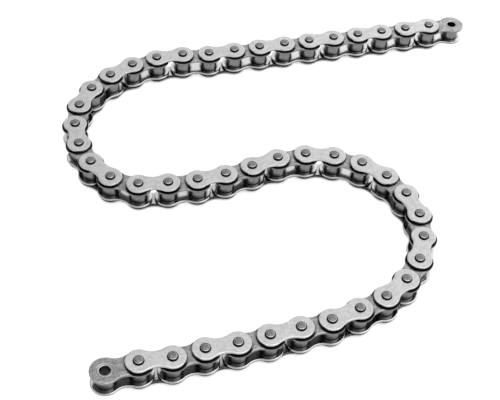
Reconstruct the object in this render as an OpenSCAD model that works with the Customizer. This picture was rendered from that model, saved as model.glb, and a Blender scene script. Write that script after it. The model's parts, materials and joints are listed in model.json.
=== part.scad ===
// Length of half-inch roller chain from the drive of a garage door opener, laid on its side in an S.
// Every link lies flat, its pins stand upright, and the chain rests on the lower ends of the pins.
// Each inner link is two plates pressed on two bushes, with a roller turning on each bush.
// Each outer link is two plates riveted on two pins, and each pin turns inside a bush of the next link.

/* [Chain] */
// Pitch, from one pin to the next
pitch = 12.7; // [12.6:0.05:12.9]
// Clear width between the two plates of an inner link
inner_width = 5.75; // [5.2:0.05:6.4]
// Gap between an inner plate and the outer plate beside it
plate_gap = 0.15; // [0.1:0.05:0.3]

/* [Plates] */
// Thickness of every plate
plate_t = 1.25; // [1.0:0.05:1.4]
// Height of an inner plate at its round ends
inner_plate_h = 11.7; // [11.2:0.1:11.9]
// Height of an inner plate across its waist
inner_waist_h = 8.3; // [8.0:0.1:8.8]
// Height of an outer plate at its round ends
outer_plate_h = 10.3; // [10.0:0.1:10.8]
// Height of an outer plate across its waist
outer_waist_h = 7.0; // [6.8:0.1:7.6]
// Waist radius over the radius that would blend without a corner
waist_flatness = 1.06; // [1.03:0.01:1.15]

/* [Pins, bushes and rollers] */
// Diameter of a pin
pin_d = 4.2; // [4.0:0.05:4.3]
// How far a riveted pin end stands out of the outer plate
pin_proud = 0.9; // [0.6:0.05:1.2]
// Length of the cone that rounds off each pin end
pin_chamfer = 0.35; // [0.2:0.05:0.5]
// Outside diameter of a bush
bush_d = 6.0; // [5.8:0.05:6.05]
// Outside diameter of a roller
roller_d = 7.75; // [7.6:0.05:7.9]
// Radial running clearance of a pin in its bush
pin_clearance = 0.05; // [0.02:0.01:0.08]
// Radial running clearance of a roller on its bush
roller_clearance = 0.1; // [0.08:0.01:0.12]
// Clearance of a roller at each end, between the inner plates
roller_end_gap = 0.15; // [0.1:0.05:0.3]

/* [How it lies] */
// Direction of the first link from the X axis, in degrees
first_heading = 2.5; // [0:0.5:5]

/* [Hidden] */
// Turns of the chain as it lies: [number of joints, degrees to the left at each of them].
course = [
    [1, -7], [1, 9], [1, -5], [1, 4], [1, 1], [1, -1],
    [1, 9], [1, 3], [1, 15], [1, 14], [1, 17], [1, 15], [1, 19], [1, 16], [1, 18], [2, 17], [1, 16], [1, 12],
    [1, -1], [2, -7], [1, -5],
    [1, -23], [1, -27], [1, -17], [2, -16], [1, -18], [1, -17], [1, -12], [1, -13], [1, -12], [1, -8],
    [1, 7.5], [9, 0]
];
turns = [for (run = course) for (joint = [1:run[0]]) run[1]];
links = len(turns) + 1;
headings = [for (i = 0, h = first_heading; i < links; h = h + (i < links - 1 ? turns[i] : 0), i = i + 1) h];
// Every pin and end bush in turn, starting from the first end bush at [0, 0]
steps = [for (h = headings) pitch * [cos(h), sin(h)]];
path = [for (i = 0, p = [0, 0]; i <= links; p = p + (i < links ? steps[i] : [0, 0]), i = i + 1) p];
// The footprint's middle, which is the origin: an inner plate's end surrounds every point of the path
middle = [for (axis = [0, 1]) (min([for (p = path) p[axis]]) + max([for (p = path) p[axis]])) / 2];

// Clearance that keeps two pressed pieces separate solids
press_gap = 0.01;
inner_link_w = inner_width + 2 * plate_t;
outer_inside_w = inner_link_w + 2 * plate_gap;
outer_link_w = outer_inside_w + 2 * plate_t;
pin_l = outer_link_w + 2 * pin_proud;
mid_z = pin_l / 2;
pin_r = pin_d / 2;
bush_bore_r = pin_r + pin_clearance;
roller_bore_r = bush_d / 2 + roller_clearance;
roller_l = inner_width - 2 * roller_end_gap;
pin_nose_r = pin_r - 0.6 * pin_chamfer;
// Extra length of a cutting shape past each face
past = 1;
$fn = 48;

// The links whose rollers have nodes of their own, and turn by themselves
free_roller_links = [3, 5, links];
first_group_link = 3;

function is_inner(link) = link % 2 == 1;
function has_free_rollers(link) = len(search(link, free_roller_links)) > 0;
function number(link) = str(link < 10 ? "0" : "", link);
function link_name(link) = str(is_inner(link) ? "inner_link_" : "outer_link_", number(link));
function roller_name(link, end) = str(link_name(link), end == 0 ? "_first_roller" : "_second_roller");

// Puts its children in the frame of a link: X from its first pin to its second, Z = 0 at mid-width.
module at_link(link) {
    start = path[link - 1] - middle;
    translate([start[0], start[1], mid_z]) rotate([0, 0, headings[link - 1]]) children();
}

// A figure-eight side plate on its two holes, its lower face at z.
module side_plate(height, waist_h, hole_r, z) {
    end_r = height / 2;
    blend_r = (pitch * pitch / 4 + waist_h * waist_h / 4 - end_r * end_r) / (height - waist_h);
    waist_r = waist_flatness * blend_r;
    translate([0, 0, z]) difference() {
        union() {
            for (x = [0, pitch]) translate([x, 0, 0]) cylinder(h = plate_t, r = end_r);
            difference() {
                translate([0, -end_r * 0.9, 0]) cube([pitch, end_r * 1.8, plate_t]);
                for (side = [-1, 1])
                    translate([pitch / 2, side * (waist_h / 2 + waist_r), -past])
                        cylinder(h = plate_t + 2 * past, r = waist_r, $fn = 96);
            }
        }
        for (x = [0, pitch]) translate([x, 0, -past]) cylinder(h = plate_t + 2 * past, r = hole_r);
    }
}

module inner_plate(z) {
    color([0.56, 0.56, 0.57])
        side_plate(inner_plate_h, inner_waist_h, bush_d / 2 + press_gap, z);
}

module outer_plate(z) {
    color([0.83, 0.83, 0.84])
        side_plate(outer_plate_h, outer_waist_h, pin_r + press_gap, z);
}

module inner_plate_upper() { inner_plate(inner_width / 2); }
module inner_plate_lower() { inner_plate(-inner_link_w / 2); }
module outer_plate_upper() { outer_plate(outer_inside_w / 2); }
module outer_plate_lower() { outer_plate(-outer_link_w / 2); }

// A plain tube round the Z axis, centred on mid-width.
module tube(length, outer_r, bore_r) {
    difference() {
        cylinder(h = length, r = outer_r, center = true);
        cylinder(h = length + 2 * past, r = bore_r, center = true);
    }
}

module bush(x) {
    color([0.62, 0.62, 0.63])
        translate([x, 0, 0]) tube(inner_link_w, bush_d / 2, bush_bore_r);
}

module roller(x) {
    color([0.5, 0.5, 0.52])
        translate([x, 0, 0]) tube(roller_l, roller_d / 2, roller_bore_r);
}

// A pin with a short cone at each riveted end.
module pin(x) {
    straight_l = pin_l - 2 * pin_chamfer;
    color([0.4, 0.4, 0.42])
        translate([x, 0, 0]) union() {
            cylinder(h = straight_l, r = pin_r, center = true);
            for (side = [0, 1])
                mirror([0, 0, side])
                    translate([0, 0, straight_l / 2]) cylinder(h = pin_chamfer, r1 = pin_r, r2 = pin_nose_r);
        }
}

// Every piece of a link in one node, apart from rollers that have nodes of their own.
module inner_link(link) {
    inner_plate_upper();
    inner_plate_lower();
    for (x = [0, pitch]) bush(x);
    if (!has_free_rollers(link)) for (x = [0, pitch]) roller(x);
}

module outer_link() {
    outer_plate_upper();
    outer_plate_lower();
    for (x = [0, pitch]) pin(x);
}

module link_group(link) {
    at_link(link) {
        if (is_inner(link)) inner_link(link);
        else outer_link();
    }
}

at_link(1) inner_plate_upper();  // link_01_upper_plate
at_link(1) inner_plate_lower();  // link_01_lower_plate
at_link(1) bush(0);  // link_01_end_bush
at_link(1) bush(pitch);  // link_01_joint_bush
at_link(1) roller(0);  // link_01_end_roller
at_link(1) roller(pitch);  // link_01_joint_roller
at_link(2) outer_plate_upper();  // link_02_upper_plate
at_link(2) outer_plate_lower();  // link_02_lower_plate
at_link(2) pin(0);  // link_02_first_pin
at_link(2) pin(pitch);  // link_02_second_pin
for (link = [first_group_link:links])
    link_group(link);
for (link = free_roller_links, end = [0, 1])
    at_link(link) roller(end * pitch);
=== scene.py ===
import json
import math

import bmesh
import bpy
import numpy as np
from mathutils import Matrix, Vector

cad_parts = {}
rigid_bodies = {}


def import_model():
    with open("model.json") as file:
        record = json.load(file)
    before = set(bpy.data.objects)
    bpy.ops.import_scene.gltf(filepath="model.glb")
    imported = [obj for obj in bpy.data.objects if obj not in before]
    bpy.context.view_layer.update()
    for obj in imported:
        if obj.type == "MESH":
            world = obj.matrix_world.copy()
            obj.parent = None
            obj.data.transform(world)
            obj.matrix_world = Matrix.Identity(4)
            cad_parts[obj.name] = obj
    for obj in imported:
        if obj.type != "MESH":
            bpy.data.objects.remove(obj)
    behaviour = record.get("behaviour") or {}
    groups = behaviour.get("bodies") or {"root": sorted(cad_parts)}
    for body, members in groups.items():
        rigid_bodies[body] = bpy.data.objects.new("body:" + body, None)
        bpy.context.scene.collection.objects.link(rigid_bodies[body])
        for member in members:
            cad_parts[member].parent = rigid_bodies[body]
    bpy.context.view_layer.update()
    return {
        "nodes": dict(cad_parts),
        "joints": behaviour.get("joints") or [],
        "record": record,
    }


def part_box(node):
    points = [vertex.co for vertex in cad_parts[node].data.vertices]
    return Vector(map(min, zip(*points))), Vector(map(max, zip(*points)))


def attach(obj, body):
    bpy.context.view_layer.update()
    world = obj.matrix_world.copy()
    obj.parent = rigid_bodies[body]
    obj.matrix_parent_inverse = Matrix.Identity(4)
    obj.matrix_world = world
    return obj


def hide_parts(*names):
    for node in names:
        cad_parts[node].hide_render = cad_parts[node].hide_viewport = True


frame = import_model()

MM = 0.001
# Smaller than any real length, in millimetres
TINY = 1e-9

# ---------------------------------------------------------------- the chain, from the frame

record = frame["record"]
mounts = {m["name"]: Vector(m["pos_m"]) for m in record["mounts"]}
hinges = [j for j in frame["joints"] if j["name"].startswith("hinge_")]
spins = [j for j in frame["joints"] if j.get("continuous")]
node_names = record["behaviour"]["bodies"]

# Every pin and end bush in turn, and the body of every link in turn
path = [mounts["first_end_bush"], *[Vector(j["pos_m"]) for j in hinges], mounts["second_end_bush"]]
link_bodies = [hinges[0]["parent"], *[j["child"] for j in hinges]]
links = len(link_bodies)
pitch = (path[1] - path[0]).length / MM


def heights(node):
    """Lowest and highest point of a CAD node, in millimetres."""
    lo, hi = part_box(node)
    return lo.z / MM, hi.z / MM


def reach(node, centre):
    """Least and greatest distance of a CAD node's points from an upright axis, in millimetres."""
    away = [(v.co.xy - centre.xy).length / MM for v in frame["nodes"][node].data.vertices]
    return min(away), max(away)


INNER_UPPER = heights("link_01_upper_plate")
INNER_LOWER = heights("link_01_lower_plate")
OUTER_UPPER = heights("link_02_upper_plate")
OUTER_LOWER = heights("link_02_lower_plate")
BUSH_Z = heights("link_01_end_bush")
ROLLER_Z = heights("link_01_end_roller")
PIN_Z = heights("link_02_first_pin")
BORE_R, BUSH_R = reach("link_01_end_bush", path[0])
ROLLER_BORE_R, ROLLER_R = reach("link_01_end_roller", path[0])
PIN_R = reach("link_02_first_pin", path[1])[1]
INNER_END_R = reach("link_01_upper_plate", path[0])[1] - pitch
OUTER_END_R = reach("link_02_upper_plate", path[1])[1] - pitch
# Half the height of each plate across its waist, in millimetres
INNER_WAIST = 4.15
OUTER_WAIST = 3.5

# ---------------------------------------------------------------- mesh templates, in a link's frame

# Steps round a plate's end, along half its waist and across its middle, round a turned part, and over an edge
END_STEPS = 40
WAIST_STEPS = 6
MIDDLE_STEPS = 8
ROUND_STEPS = 48
EDGE_STEPS = 4
ROLL_STEPS = 3
# Where the rings of a plate's face lie, from its hole's edge to its outline
FACE_SHARES = (0.0, 0.35, 0.7, 1.0)
# Width of the narrow strips that keep an edge crisp, in millimetres: on a plate, and on a tube's end and wall
FACE_SUPPORT = 0.12
END_SUPPORT = 0.05
WALL_SUPPORT = 0.12
# How worn an edge is where its round starts and ends, and how worn the soft roll beside it gets
EDGE_END_WEAR = 0.3
ROLL_WEAR = 0.35
# Painted shade on a ledge, all in millimetres: how far inside the upper plate's end radius it starts and is
# full, how far from the chain's middle line it starts and is full, and how far past its own plate's end
# radius it has faded away and is full
LEDGE_INSIDE = (0.25, 0.05)
LEDGE_ASIDE = (2.2, 3.2)
LEDGE_PAST = (0.25, 0.02)
# Clearance between two pressed pieces, in millimetres
PRESS_GAP = 0.01

# What each vertex says of its surface, from 0 to 1: a worn rim, a cut wall, painted shade, and a painted
# highlight on a smoother face
MARKS = ("rim", "wall", "grease", "clean")


class Template:
    """A mesh in millimetres, whose vertices carry the MARKS. finish turns it into arrays."""

    def __init__(self):
        self.bm = bmesh.new()
        self.layers = {mark: self.bm.verts.layers.float.new(mark) for mark in MARKS}

    def ring(self, points, z, **marks):
        made = []
        for x, y in points:
            v = self.bm.verts.new((x, y, z))
            for mark, share in marks.items():
                v[self.layers[mark]] = share
            made.append(v)
        return made

    def bridge(self, a, b, closed=True):
        count = len(a) if closed else len(a) - 1
        for i in range(count):
            k = (i + 1) % len(a)
            self.bm.faces.new((a[i], a[k], b[k], b[i]))

    def fan(self, ring, tip):
        for i, v in enumerate(ring):
            self.bm.faces.new((v, ring[(i + 1) % len(ring)], tip))

    def finish(self):
        bmesh.ops.remove_doubles(self.bm, verts=self.bm.verts, dist=1e-5)
        bmesh.ops.recalc_face_normals(self.bm, faces=self.bm.faces)
        self.bm.verts.index_update()
        verts = list(self.bm.verts)
        self.co = np.array([v.co for v in verts])
        self.marks = {mark: np.array([v[layer] for v in verts]) for mark, layer in self.layers.items()}
        self.faces = [[v.index for v in f.verts] for f in self.bm.faces]
        self.bm.free()
        return self


def edge_curve(width, depth):
    """(inset, drop, rim) points of a rounded edge, from the face over to the wall."""
    made = []
    for i in range(EDGE_STEPS + 1):
        a = math.pi / 2 * i / EDGE_STEPS
        worn = math.sin(2 * a) ** 0.5 if 0 < i < EDGE_STEPS else EDGE_END_WEAR
        made.append((width * (1 - math.sin(a)), depth * (1 - math.cos(a)), worn))
    return made


def half_outline(end_r, waist, inset):
    """Points of the half of a plate round its hole at +pitch/2, from the lower to the upper waist."""
    half = pitch / 2
    blend_r = (half ** 2 + waist ** 2 - end_r ** 2) / (2 * (end_r - waist))
    centre_y = waist + blend_r
    slope = math.atan2(centre_y, half)
    points = []
    for i in range(WAIST_STEPS):
        a = (math.pi / 2 - slope) * i / WAIST_STEPS
        r = blend_r + inset
        points.append((r * math.sin(a), -centre_y + r * math.cos(a)))
    for i in range(END_STEPS + 1):
        a = (math.pi - slope) * (2 * i / END_STEPS - 1)
        r = end_r - inset
        points.append((half + r * math.cos(a), r * math.sin(a)))
    lower = points[:WAIST_STEPS]
    points += [(x, -y) for x, y in reversed(lower)]
    return points


def ramp(value, start, end):
    """0 at start, 1 at end, and straight between them."""
    return min(max((value - start) / (end - start), 0.0), 1.0)


def plate(end_r, waist, hole_r, z_range, roll, upper_edge, lower_edge, hole_edge, upper_clean=0.0,
          lower_grease=0.0, wall_clean=0.0, wall_grease=(0.0, 0.0, 0.0), ledge_r=None):
    """A figure-eight plate. roll is the soft roll of its outline, and it and the edges are (width, depth).
    The highlight numbers say how much painted highlight, with a smoother finish, its upper face and cut wall
    get.
    The shade numbers say how much painted shade its lower face gets, and its wall at the top, in the middle
    and at the bottom. ledge_r is the radius round each hole outside which the upper face is a ledge with
    painted shade, because the next plate up stops short of it."""
    t = Template()
    z0, z1 = z_range
    half = pitch / 2
    flat_at = roll[0] + FACE_SUPPORT
    rims = half_outline(end_r, waist, flat_at)
    top_y = rims[-1][1]
    middle = [(0.0, top_y * (1 - 2 * i / MIDDLE_STEPS)) for i in range(1, MIDDLE_STEPS)]
    spokes = rims + middle
    angles = [math.atan2(y, x - half) for x, y in spokes]

    def round_hole(r):
        return [(half + r * math.cos(a), r * math.sin(a)) for a in angles]

    def on_ledge(co):
        x, y = abs(co.x) - half, abs(co.y)
        r = math.hypot(x, y)
        start, full = (ledge_r - inside for inside in LEDGE_INSIDE)
        fades, fades_to = (end_r + past for past in LEDGE_PAST)
        return ramp(r, start, full) * ramp(y, *LEDGE_ASIDE) * ramp(r, fades, fades_to)

    def join(rings, closed):
        for a, b in zip(rings, rings[1:]):
            t.bridge(a, b, closed)

    near, far = np.array(round_hole(hole_r + hole_edge[0] + FACE_SUPPORT)), np.array(spokes)
    for side in (1, -1):
        # Each face's own painted highlight or painted shade, and the painted shade of its half of the wall
        for face, z, edge, own, grease in ((1, z1, upper_edge, dict(clean=upper_clean), wall_grease[0]),
                                           (-1, z0, lower_edge, dict(grease=lower_grease), wall_grease[2])):

            def ring(points, drop, **marks):
                verts = t.ring([(side * x, y) for x, y in points], z - face * drop, **{**own, **marks})
                # Painted shade on the ledge beside the end of the next plate up
                if face == 1 and ledge_r and drop < (z1 - z0) / 2:
                    for v in verts:
                        v[t.layers["grease"]] = max(on_ledge(v.co), marks.get("grease", 0.0))
                return verts

            # The face, from the hole's own edge out to where the outer edge starts to roll
            join([ring(round_hole(hole_r + hole_edge[0]), 0.0)]
                 + [ring(near + (far - near) * share, 0.0) for share in FACE_SHARES], closed=True)
            # The hole's edge and the upper or lower half of its wall
            rings = [ring(round_hole(hole_r + inset), drop, rim=rim)
                     for inset, drop, rim in edge_curve(*hole_edge)]
            rings.append(ring(round_hole(hole_r), (z1 - z0) / 2, wall=1.0))
            join(rings, closed=True)
            # The outer edge: a soft roll, then a tighter round, then half of the cut wall
            rings = [ring(half_outline(end_r, waist, flat_at), 0.0)]
            for i in range(ROLL_STEPS):
                s = i / ROLL_STEPS
                inset = roll[0] + (edge[0] - roll[0]) * s
                rings.append(ring(half_outline(end_r, waist, inset), roll[1] * s ** 2, rim=ROLL_WEAR * s))
            for inset, drop, rim in edge_curve(*edge):
                over = 1 - inset / edge[0]
                marks = dict(rim=rim, wall=float(inset < TINY),
                             clean=own.get("clean", 0.0) * (1 - over) + wall_clean * over,
                             grease=own.get("grease", 0.0) * (1 - over) + grease * over)
                rings.append(ring(half_outline(end_r, waist, inset), roll[1] + drop, **marks))
            rings.append(ring(half_outline(end_r, waist, 0.0), (z1 - z0) / 2, wall=1.0, clean=wall_clean,
                              grease=wall_grease[1]))
            join(rings, closed=False)
    t.finish()
    t.co += (half, 0.0, 0.0)
    return t


def lathe(profile, closed):
    """A turned part from (radius, height, marks) points; a closed profile is a tube's section."""
    t = Template()
    turn = [2 * math.pi * i / ROUND_STEPS for i in range(ROUND_STEPS)]
    rings = []
    for r, z, marks in profile:
        stations = turn if r > TINY else [0.0]
        rings.append(t.ring([(r * math.cos(a), r * math.sin(a)) for a in stations], z, **marks))
    pairs = list(zip(rings, rings[1:]))
    if closed:
        pairs.append((rings[-1], rings[0]))
    for a, b in pairs:
        if len(a) == 1:
            t.fan(b, a[0])
        elif len(b) == 1:
            t.fan(a, b[0])
        else:
            t.bridge(a, b)
    return t.finish()


def tube(z_range, bore_r, outer_r, bore_edge, outer_edge, bore_grease):
    """A tube with rounded edges, each (width, depth), and painted shade in its bore."""
    z0, z1 = z_range
    outer = [(outer_r, -outer_edge[1] - WALL_SUPPORT, dict(wall=1.0))]
    outer += [(outer_r - inset, -drop, dict(rim=rim))
              for inset, drop, rim in reversed(edge_curve(*outer_edge))]
    flat = [(outer_r - outer_edge[0] - END_SUPPORT, 0.0, {}), (bore_r + bore_edge[0] + END_SUPPORT, 0.0, {})]
    bore = [(bore_r + inset, -drop, dict(rim=rim)) for inset, drop, rim in edge_curve(*bore_edge)]
    # Painted shade down the bore wall
    bore.append((bore_r, -bore_edge[1] - WALL_SUPPORT, dict(wall=1.0, grease=bore_grease)))
    end = outer + flat + bore
    section = [(r, z1 + z, marks) for r, z, marks in end]
    section += [(r, z0 - z, marks) for r, z, marks in reversed(end)]
    return lathe(section, closed=True)


def riveted_pin():
    """A pin whose two ends are headed: a flat disc, a step down round it with painted shade, a bright sloping
    ring, and a rim with painted shade that rounds over to the side."""
    z0, z1 = PIN_Z
    # Radius, height, wear and painted shade, from the centre out and down the side
    head = [
        (0.0, 0.0, 0.0, 0.0), (0.5, 0.0, 0.1, 0.0), (1.0, -0.01, 0.3, 0.0), (1.2, -0.02, 0.2, 0.0),
        (1.28, -0.06, 0.0, 0.6), (1.36, -0.14, 0.0, 0.7), (1.42, -0.16, 0.5, 0.2), (1.52, -0.19, 1.0, 0.0),
        (1.7, -0.26, 1.0, 0.0), (1.78, -0.28, 0.3, 0.8), (1.84, -0.29, 0.0, 1.0), (1.96, -0.31, 0.0, 1.0),
        (2.05, -0.38, 0.0, 1.0), (PIN_R, -0.48, 0.0, 1.0), (PIN_R, -0.86, 0.0, 1.0),
    ]
    end = [(r, z, dict(rim=rim, grease=grease)) for r, z, rim, grease in head]
    section = [(r, z1 + z, marks) for r, z, marks in end]
    section += [(r, z0 - z, marks) for r, z, marks in reversed(end)]
    return lathe(section, closed=False)


INNER_PLATE = dict(end_r=INNER_END_R, waist=INNER_WAIST, hole_r=BUSH_R + PRESS_GAP, roll=(0.6, 0.02),
                   lower_edge=(0.3, 0.26), hole_edge=(0.36, 0.16))
OUTER_PLATE = dict(end_r=OUTER_END_R, waist=OUTER_WAIST, hole_r=PIN_R + PRESS_GAP, roll=(0.6, 0.03),
                   upper_edge=(0.15, 0.13), lower_edge=(0.3, 0.28), hole_edge=(0.12, 0.1))

# Each plate's shade numbers are painted shade, and its highlight numbers are painted highlight
templates = {
    "inner_upper": plate(z_range=INNER_UPPER, upper_edge=(0.18, 0.16), lower_grease=0.8,
                         wall_grease=(0.15, 0.25, 0.6), ledge_r=OUTER_END_R, **INNER_PLATE),
    "inner_lower": plate(z_range=INNER_LOWER, upper_edge=(0.36, 0.34), upper_clean=1.0, lower_grease=1.0,
                         wall_clean=0.8, wall_grease=(0.0, 0.3, 1.0), **INNER_PLATE),
    "outer_upper": plate(z_range=OUTER_UPPER, lower_grease=1.0, wall_clean=0.5,
                         wall_grease=(0.0, 0.1, 1.0), **OUTER_PLATE),
    "outer_lower": plate(z_range=OUTER_LOWER, upper_clean=1.0, lower_grease=1.0,
                         wall_grease=(1.0, 1.0, 0.9), **OUTER_PLATE),
    "bush": tube(BUSH_Z, BORE_R, BUSH_R, bore_edge=(0.3, 0.24), outer_edge=(0.12, 0.1), bore_grease=1.0),
    "roller": tube(ROLLER_Z, ROLLER_BORE_R, ROLLER_R, bore_edge=(0.1, 0.1), outer_edge=(0.25, 0.25),
                   bore_grease=1.0),
    "pin": riveted_pin(),
}

# ---------------------------------------------------------------- materials


class Nodes:
    """Short calls for making a material's nodes."""

    def __init__(self, name):
        self.material = bpy.data.materials.new(name)
        self.material.use_nodes = True
        self.tree = self.material.node_tree
        self.tree.nodes.clear()

    def add(self, kind, **values):
        node = self.tree.nodes.new(kind)
        for key, value in values.items():
            setattr(node, key, value)
        return node

    def link(self, a, b):
        self.tree.links.new(a, b)

    def attribute(self, name, output):
        return self.add("ShaderNodeAttribute", attribute_name=name).outputs[output]

    def noise(self, vector, stretch, detail=3.0, roughness=0.5):
        scaled = self.add("ShaderNodeMapping")
        scaled.inputs["Scale"].default_value = stretch
        self.link(vector, scaled.inputs["Vector"])
        node = self.add("ShaderNodeTexNoise")
        node.inputs["Scale"].default_value = 1.0
        node.inputs["Detail"].default_value = detail
        node.inputs["Roughness"].default_value = roughness
        self.link(scaled.outputs["Vector"], node.inputs["Vector"])
        return node.outputs["Fac"]

    def between(self, value, low, high, start=0.3, end=0.7):
        """low where the value is at start or under, high at end or over, and straight between them."""
        node = self.add("ShaderNodeMapRange")
        for socket, number in (("From Min", start), ("From Max", end), ("To Min", low), ("To Max", high)):
            node.inputs[socket].default_value = number
        self.link(value, node.inputs["Value"])
        return node.outputs["Result"]

    def math(self, operation, a, b):
        node = self.add("ShaderNodeMath", operation=operation)
        for socket, value in zip(node.inputs, (a, b)):
            if isinstance(value, (int, float)):
                socket.default_value = value
            else:
                self.link(value, socket)
        return node.outputs["Value"]

    def mix(self, share, a, b, kind="VALUE"):
        """a where the share is 0, and b where it is 1."""
        node = self.add("ShaderNodeMix", data_type="RGBA" if kind == "RGBA" else "FLOAT")
        self.link(share, node.inputs["Factor"])
        sockets = [s for s in node.inputs if s.type == kind and s.name in "AB"]
        for socket, value in zip(sockets, (a, b)):
            if isinstance(value, tuple):
                socket.default_value = (*value, 1.0)
            elif isinstance(value, float):
                socket.default_value = value
            else:
                self.link(value, socket)
        return [s for s in node.outputs if s.type == kind][0]

    def blend(self, share, a, b):
        return self.mix(share, a, b, "RGBA")


# Rays of an Ambient Occlusion node
AO_SAMPLES = 8
# Colour and roughness of the painted shade
PAINTED_SHADE_COLOUR = (0.006, 0.006, 0.007)
PAINTED_SHADE_ROUGH = 0.3
# How near two pieces must be for painted shade between them, in millimetres, and the openness where it is
# full and where it ends
CREVICE_SHADE_REACH = 1.8
CREVICE_SHADE_RANGE = (0.5, 0.84)


def grey(value):
    """A steel's colour of that brightness, a very little bluer than neutral."""
    return value, value, value * 1.01


def steel(name, light, dark, worn, clean, rough, clean_rough, mottle, grain, depth, crevice_shade):
    """Satin steel. light, dark, worn and clean are the greys of its mottling, its worn rims and its
    faces with painted highlight. rough is (least, most) roughness and clean_rough that of those smoother
    faces, mottle is how fine the mottling is, grain stretches the grain, depth is the bump's in millimetres,
    and crevice_shade is how dark the painted shade gets where another piece is near."""
    n = Nodes(name)
    place = n.attribute("grain", "Vector")
    rim, wall, grease_mark, clean_mark = (n.attribute(mark, "Fac") for mark in MARKS)
    clouds = n.noise(place, (mottle, mottle, mottle), detail=4.0, roughness=0.6)
    lines = n.noise(place, grain, detail=3.0, roughness=0.6)
    shear = n.noise(place, SHEARED, detail=2.0, roughness=0.6)
    specks = n.noise(place, SPECKLED, detail=2.0)
    streaks = n.noise(place, tuple(mottle * share for share in STREAKED), detail=3.0, roughness=0.6)

    # Mottled steel with small dark specks, light shear lines on the cut walls, worn rims and painted
    # highlight on marked faces
    patches = n.math("ADD", n.math("MULTIPLY", clouds, 0.6), n.math("MULTIPLY", streaks, 0.4))
    tone = n.blend(n.between(patches, 0.0, 1.0, 0.4, 0.6), grey(dark), grey(light))
    tone = n.blend(n.between(specks, 0.0, 0.35, 0.62, 0.75), tone, grey(dark))
    tone = n.blend(n.math("MULTIPLY", wall, n.between(shear, 0.0, 0.7)), tone, grey(light))
    wear = n.math("MULTIPLY", rim, n.between(clouds, 0.35, 1.0))
    tone = n.blend(wear, tone, grey(worn))
    # Painted highlight: the marked faces get a lighter grey
    tone = n.blend(n.math("MULTIPLY", clean_mark, n.between(specks, 0.85, 1.0)), tone, grey(clean))

    # Painted shade where it is marked, and painted crevice shade where ambient occlusion finds another piece
    # near
    crevice = n.add("ShaderNodeAmbientOcclusion", samples=AO_SAMPLES)
    crevice.inputs["Distance"].default_value = CREVICE_SHADE_REACH * MM
    painted_crevice_shade = n.between(crevice.outputs["AO"], crevice_shade, 0.0, *CREVICE_SHADE_RANGE)
    grease = n.math("MAXIMUM", n.math("MULTIPLY", grease_mark, n.between(specks, 1.0, 0.97)), painted_crevice_shade)
    tone = n.blend(grease, tone, PAINTED_SHADE_COLOUR)

    # Rougher along the grain, and smoother in light patches, on worn rims and on the marked highlight faces
    roughness = n.math("ADD", n.between(lines, *rough), n.between(clouds, 0.05, 0.0))
    roughness = n.math("SUBTRACT", roughness, n.math("MULTIPLY", wear, 0.06))
    roughness = n.mix(clean_mark, roughness, clean_rough)
    roughness = n.mix(grease, roughness, PAINTED_SHADE_ROUGH)

    bump = n.add("ShaderNodeBump")
    bump.inputs["Strength"].default_value = 1.0
    bump.inputs["Distance"].default_value = depth * MM
    height = n.math("ADD", n.mix(wall, lines, shear), n.math("MULTIPLY", specks, 0.6))
    n.link(height, bump.inputs["Height"])
    shader = n.add("ShaderNodeBsdfPrincipled")
    shader.inputs["Metallic"].default_value = 1.0
    n.link(tone, shader.inputs["Base Color"])
    n.link(roughness, shader.inputs["Roughness"])
    n.link(bump.outputs["Normal"], shader.inputs["Normal"])
    out = n.add("ShaderNodeOutputMaterial")
    n.link(shader.outputs["BSDF"], out.inputs["Surface"])
    return n.material


# How often noise repeats per millimetre: along a plate, round a turned part, down a cut wall, and in specks
ALONG = (0.5, 7.0, 7.0)
TURNED = (0.5, 0.5, 9.0)
SHEARED = (6.0, 6.0, 0.5)
SPECKLED = (9.0, 9.0, 9.0)
# How a plate's streaks stretch its mottling
STREAKED = (0.25, 2.5, 1.0)
materials = {
    "outer_plate": steel("bright_plate_steel", 0.61, 0.47, 0.52, 0.6, (0.16, 0.26), 0.12, 0.8, ALONG,
                         0.010, 0.25),
    "inner_plate": steel("grey_plate_steel", 0.44, 0.21, 0.42, 0.66, (0.08, 0.17), 0.1, 0.9, ALONG,
                         0.007, 1.0),
    "pin": steel("dark_pin_steel", 0.25, 0.11, 0.45, 0.2, (0.14, 0.24), 0.2, 2.0, TURNED, 0.012, 0.3),
    "bush": steel("bush_steel", 0.42, 0.28, 0.6, 0.4, (0.14, 0.22), 0.2, 0.9, TURNED, 0.008, 0.0),
    "roller": steel("roller_steel", 0.27, 0.14, 0.4, 0.3, (0.18, 0.28), 0.2, 0.9, TURNED, 0.008, 0.0),
}

# ---------------------------------------------------------------- pieces

# How far the grain of one piece is from that of the next, in millimetres, and how many pieces a link may have
GRAIN_STEP = (0.0, 41.0, 17.0)
SEEDS_PER_LINK = 10
# How near a roller's joint is to its bush, at the most, in millimetres
SAME_PLACE = 0.1


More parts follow.
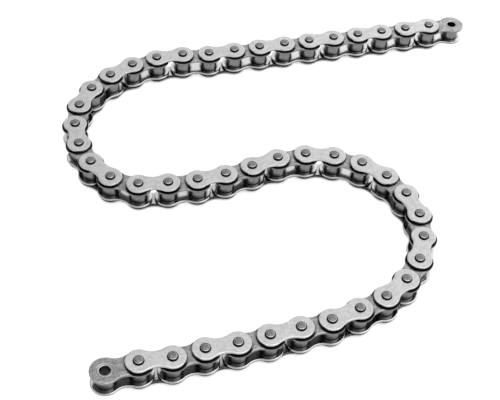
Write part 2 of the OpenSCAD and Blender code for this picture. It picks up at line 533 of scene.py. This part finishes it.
def add_piece(name, template, slot, origin, heading, body, node, seed, bare=None):
    """A piece in its place in the CAD's frame, riding its body and standing for its CAD node.
    bare is the (from, to) of X in the link's frame where no plate lies on this one, so it has no painted
    shade on top."""
    turn = np.array(Matrix.Rotation(heading, 3, "Z"))
    co = template.co @ turn.T * MM + (origin.x, origin.y, 0.0)
    mesh = bpy.data.meshes.new(name)
    mesh.from_pydata(co.tolist(), [], template.faces)
    mesh.shade_smooth()
    grain = mesh.attributes.new("grain", "FLOAT_VECTOR", "POINT")
    shifted = template.co + np.array(GRAIN_STEP) * seed
    grain.data.foreach_set("vector", shifted.astype(np.float32).ravel())
    for mark, shares in template.marks.items():
        # No painted ledge shade where no plate lies on top
        if mark == "grease" and bare:
            x, z = template.co[:, 0], template.co[:, 2]
            shares = np.where((bare[0] < x) & (x < bare[1]) & (z > z.mean()), 0.0, shares)
        layer = mesh.attributes.new(mark, "FLOAT", "POINT")
        layer.data.foreach_set("value", shares.astype(np.float32))
    mesh.materials.append(materials[slot])
    piece = bpy.data.objects.new(name, mesh)
    bpy.context.scene.collection.objects.link(piece)
    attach(piece, body)
    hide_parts(node)


def node_of(body, *words):
    """The CAD node of a body: its only one, or the one whose name has one of the words."""
    names = node_names[body]
    if len(names) == 1:
        return names[0]
    return next(n for n in names for w in words if w in n)


def roller_body(link_body, centre):
    """The body of a roller: its own where it has a joint, or else its link's."""
    for j in spins:
        if j["parent"] == link_body and (Vector(j["pos_m"]) - centre).length < SAME_PLACE * MM:
            return j["child"]
    return link_body


def add_link(number):
    """The pieces of one link: two plates, and two bushes with their rollers or two pins."""
    body = link_bodies[number - 1]
    start, end = path[number - 1], path[number]
    heading = math.atan2(end.y - start.y, end.x - start.x)
    inner = number % 2 == 1
    kind = "inner" if inner else "outer"
    tag = f"{number:02d}"
    seed = SEEDS_PER_LINK * number
    # The open half of the first link and of the last
    bare = {1: (-pitch, pitch / 2), links: (pitch / 2, 2 * pitch)}.get(number)
    for i, side in enumerate(("upper", "lower")):
        add_piece(f"{side}_{kind}_plate_{tag}", templates[f"{kind}_{side}"], f"{kind}_plate", start, heading,
                  body, node_of(body, f"{side}_plate"), seed + i, bare if side == "upper" else None)
    for i, (place, centre) in enumerate((("first", start), ("second", end))):
        if inner:
            word = "end_bush" if i == 0 else "joint_bush"
            add_piece(f"{place}_bush_{tag}", templates["bush"], "bush", centre, heading, body,
                      node_of(body, word), seed + 2 + i)
            own = roller_body(body, centre)
            add_piece(f"{place}_roller_{tag}", templates["roller"], "roller", centre, heading, own,
                      node_of(own), seed + 4 + i)
        else:
            add_piece(f"{place}_pin_{tag}", templates["pin"], "pin", centre, heading, body,
                      node_of(body, f"{place}_pin"), seed + 2 + i)


for number in range(1, links + 1):
    add_link(number)

# ---------------------------------------------------------------- floor, light and camera

# Side of the floor and how far the reflected one lies below, in metres
FLOOR_SIZE = 12.0
FLOOR_GAP = 0.1 * MM
# How far the contact shadow reaches, in millimetres, the glow left in it, and the openness where it is full
# and where it ends
CONTACT_REACH = 3.0
CONTACT_DARK = 0.0
CONTACT_RANGE = (0.15, 0.46)

# The strongest light that the world's curve can give, as the curve itself goes from 0 to 1
BRIGHTEST = 4.0
# X of a direction where the light's growth to the right starts and ends
ACROSS = (-0.6, 0.6)
SENSOR_WIDTH = 36.0


def add_floor(name, height, glow, for_camera):
    """A plain pale floor that glows as a light table does, with a contact shadow painted into the glow right
    under the object.
    One floor is what the camera sees, and the other is what the steel reflects."""
    mesh = bpy.data.meshes.new(name)
    corners = [(x * FLOOR_SIZE / 2, y * FLOOR_SIZE / 2, height)
               for x, y in ((-1, -1), (1, -1), (1, 1), (-1, 1))]
    mesh.from_pydata(corners, [], [(0, 1, 2, 3)])
    n = Nodes(name)
    # Painted contact shadow: ambient occlusion dims the glow near the object
    openness = n.add("ShaderNodeAmbientOcclusion", samples=AO_SAMPLES)
    openness.inputs["Distance"].default_value = CONTACT_REACH * MM
    emission = n.add("ShaderNodeEmission")
    n.link(n.between(openness.outputs["AO"], CONTACT_DARK, glow, *CONTACT_RANGE), emission.inputs["Strength"])
    out = n.add("ShaderNodeOutputMaterial")
    n.link(emission.outputs["Emission"], out.inputs["Surface"])
    mesh.materials.append(n.material)
    floor = bpy.data.objects.new(name, mesh)
    bpy.context.scene.collection.objects.link(floor)
    floor.visible_camera = for_camera
    floor.visible_glossy = not for_camera
    floor.visible_diffuse = not for_camera
    floor.visible_shadow = not for_camera


def add_world(by_height, side, screens):
    """Soft light from all round. by_height gives its strength by the height of a direction, and side how much
    it grows to the right. Each dark screen has a direction, the cosines where its edge starts and ends, and
    how much light it leaves."""
    world = bpy.data.worlds.new("studio")
    bpy.context.scene.world = world
    world.use_nodes = True
    tree = world.node_tree
    tree.nodes.clear()
    coords = tree.nodes.new("ShaderNodeTexCoord")
    split = tree.nodes.new("ShaderNodeSeparateXYZ")
    tree.links.new(coords.outputs["Generated"], split.inputs["Vector"])

    def ranged(value, numbers, smooth=False):
        """The value taken from one range to another, given as (from, from, to, to)."""
        node = tree.nodes.new("ShaderNodeMapRange")
        if smooth:
            node.interpolation_type = "SMOOTHSTEP"
        for socket, number in zip(("From Min", "From Max", "To Min", "To Max"), numbers):
            node.inputs[socket].default_value = number
        tree.links.new(value, node.inputs["Value"])
        return node.outputs["Result"]

    def product(a, b):
        node = tree.nodes.new("ShaderNodeMath")
        node.operation = "MULTIPLY"
        for socket, value in zip(node.inputs, (a, b)):
            if isinstance(value, float):
                socket.default_value = value
            else:
                tree.links.new(value, socket)
        return node.outputs["Value"]

    curve = tree.nodes.new("ShaderNodeFloatCurve")
    points = curve.mapping.curves[0].points
    while len(points) < len(by_height):
        points.new(0.5, 0.5)
    for point, (z, strength) in zip(points, by_height):
        point.location = (z, strength / BRIGHTEST)
        point.handle_type = "VECTOR"
    curve.mapping.update()
    tree.links.new(split.outputs["Z"], curve.inputs["Value"])
    across = ranged(split.outputs["X"], (*ACROSS, 1.0 - side, 1.0 + side))
    strength = product(product(curve.outputs["Value"], across), BRIGHTEST)
    for towards, starts, ends, left in screens:
        dot = tree.nodes.new("ShaderNodeVectorMath")
        dot.operation = "DOT_PRODUCT"
        tree.links.new(coords.outputs["Generated"], dot.inputs[0])
        dot.inputs[1].default_value = towards.normalized()
        strength = product(strength, ranged(dot.outputs["Value"], (starts, ends, 1.0, left), smooth=True))
    background = tree.nodes.new("ShaderNodeBackground")
    tree.links.new(strength, background.inputs["Strength"])
    out = tree.nodes.new("ShaderNodeOutputWorld")
    tree.links.new(background.outputs["Background"], out.inputs["Surface"])


def add_camera(aim, distance, azimuth, elevation, roll, lens):
    """A camera at a distance from the point it looks at. azimuth and elevation say in which direction from
    the point it stands, azimuth 0 being -Y, roll is its tilt, all in degrees, and lens is in millimetres."""
    turn = (Matrix.Rotation(math.radians(azimuth), 4, "Z")
            @ Matrix.Rotation(math.radians(90 - elevation), 4, "X")
            @ Matrix.Rotation(math.radians(roll), 4, "Z"))
    data = bpy.data.cameras.new("camera")
    data.lens = lens
    data.sensor_width = SENSOR_WIDTH
    camera = bpy.data.objects.new("camera", data)
    camera.matrix_world = Matrix.Translation(aim) @ turn @ Matrix.Translation((0, 0, distance))
    bpy.context.scene.collection.objects.link(camera)
    bpy.context.scene.camera = camera


add_floor("white_floor", 0.0, 1.05, for_camera=True)
add_floor("reflected_floor", -FLOOR_GAP, 1.0, for_camera=False)
# One dark screen stands to the left of the camera, and the other low behind the chain
add_world(by_height=[(0.0, 1.3), (0.3, 1.3), (0.6, 1.2), (0.82, 0.95), (0.93, 2.3), (1.0, 2.6)], side=0.6,
          screens=[(Vector((-0.45, -0.6, 0.66)), 0.66, 0.88, 0.45),
                   (Vector((0.32, 0.95, -0.02)), 0.85, 0.95, 0.5)])
add_camera(aim=Vector((-25.9, -4.0, 0.0)) * MM, distance=476.0 * MM, azimuth=-18.502, elevation=46.461,
           roll=4.67, lens=78.366)
bpy.context.scene.view_settings.view_transform = "Standard"
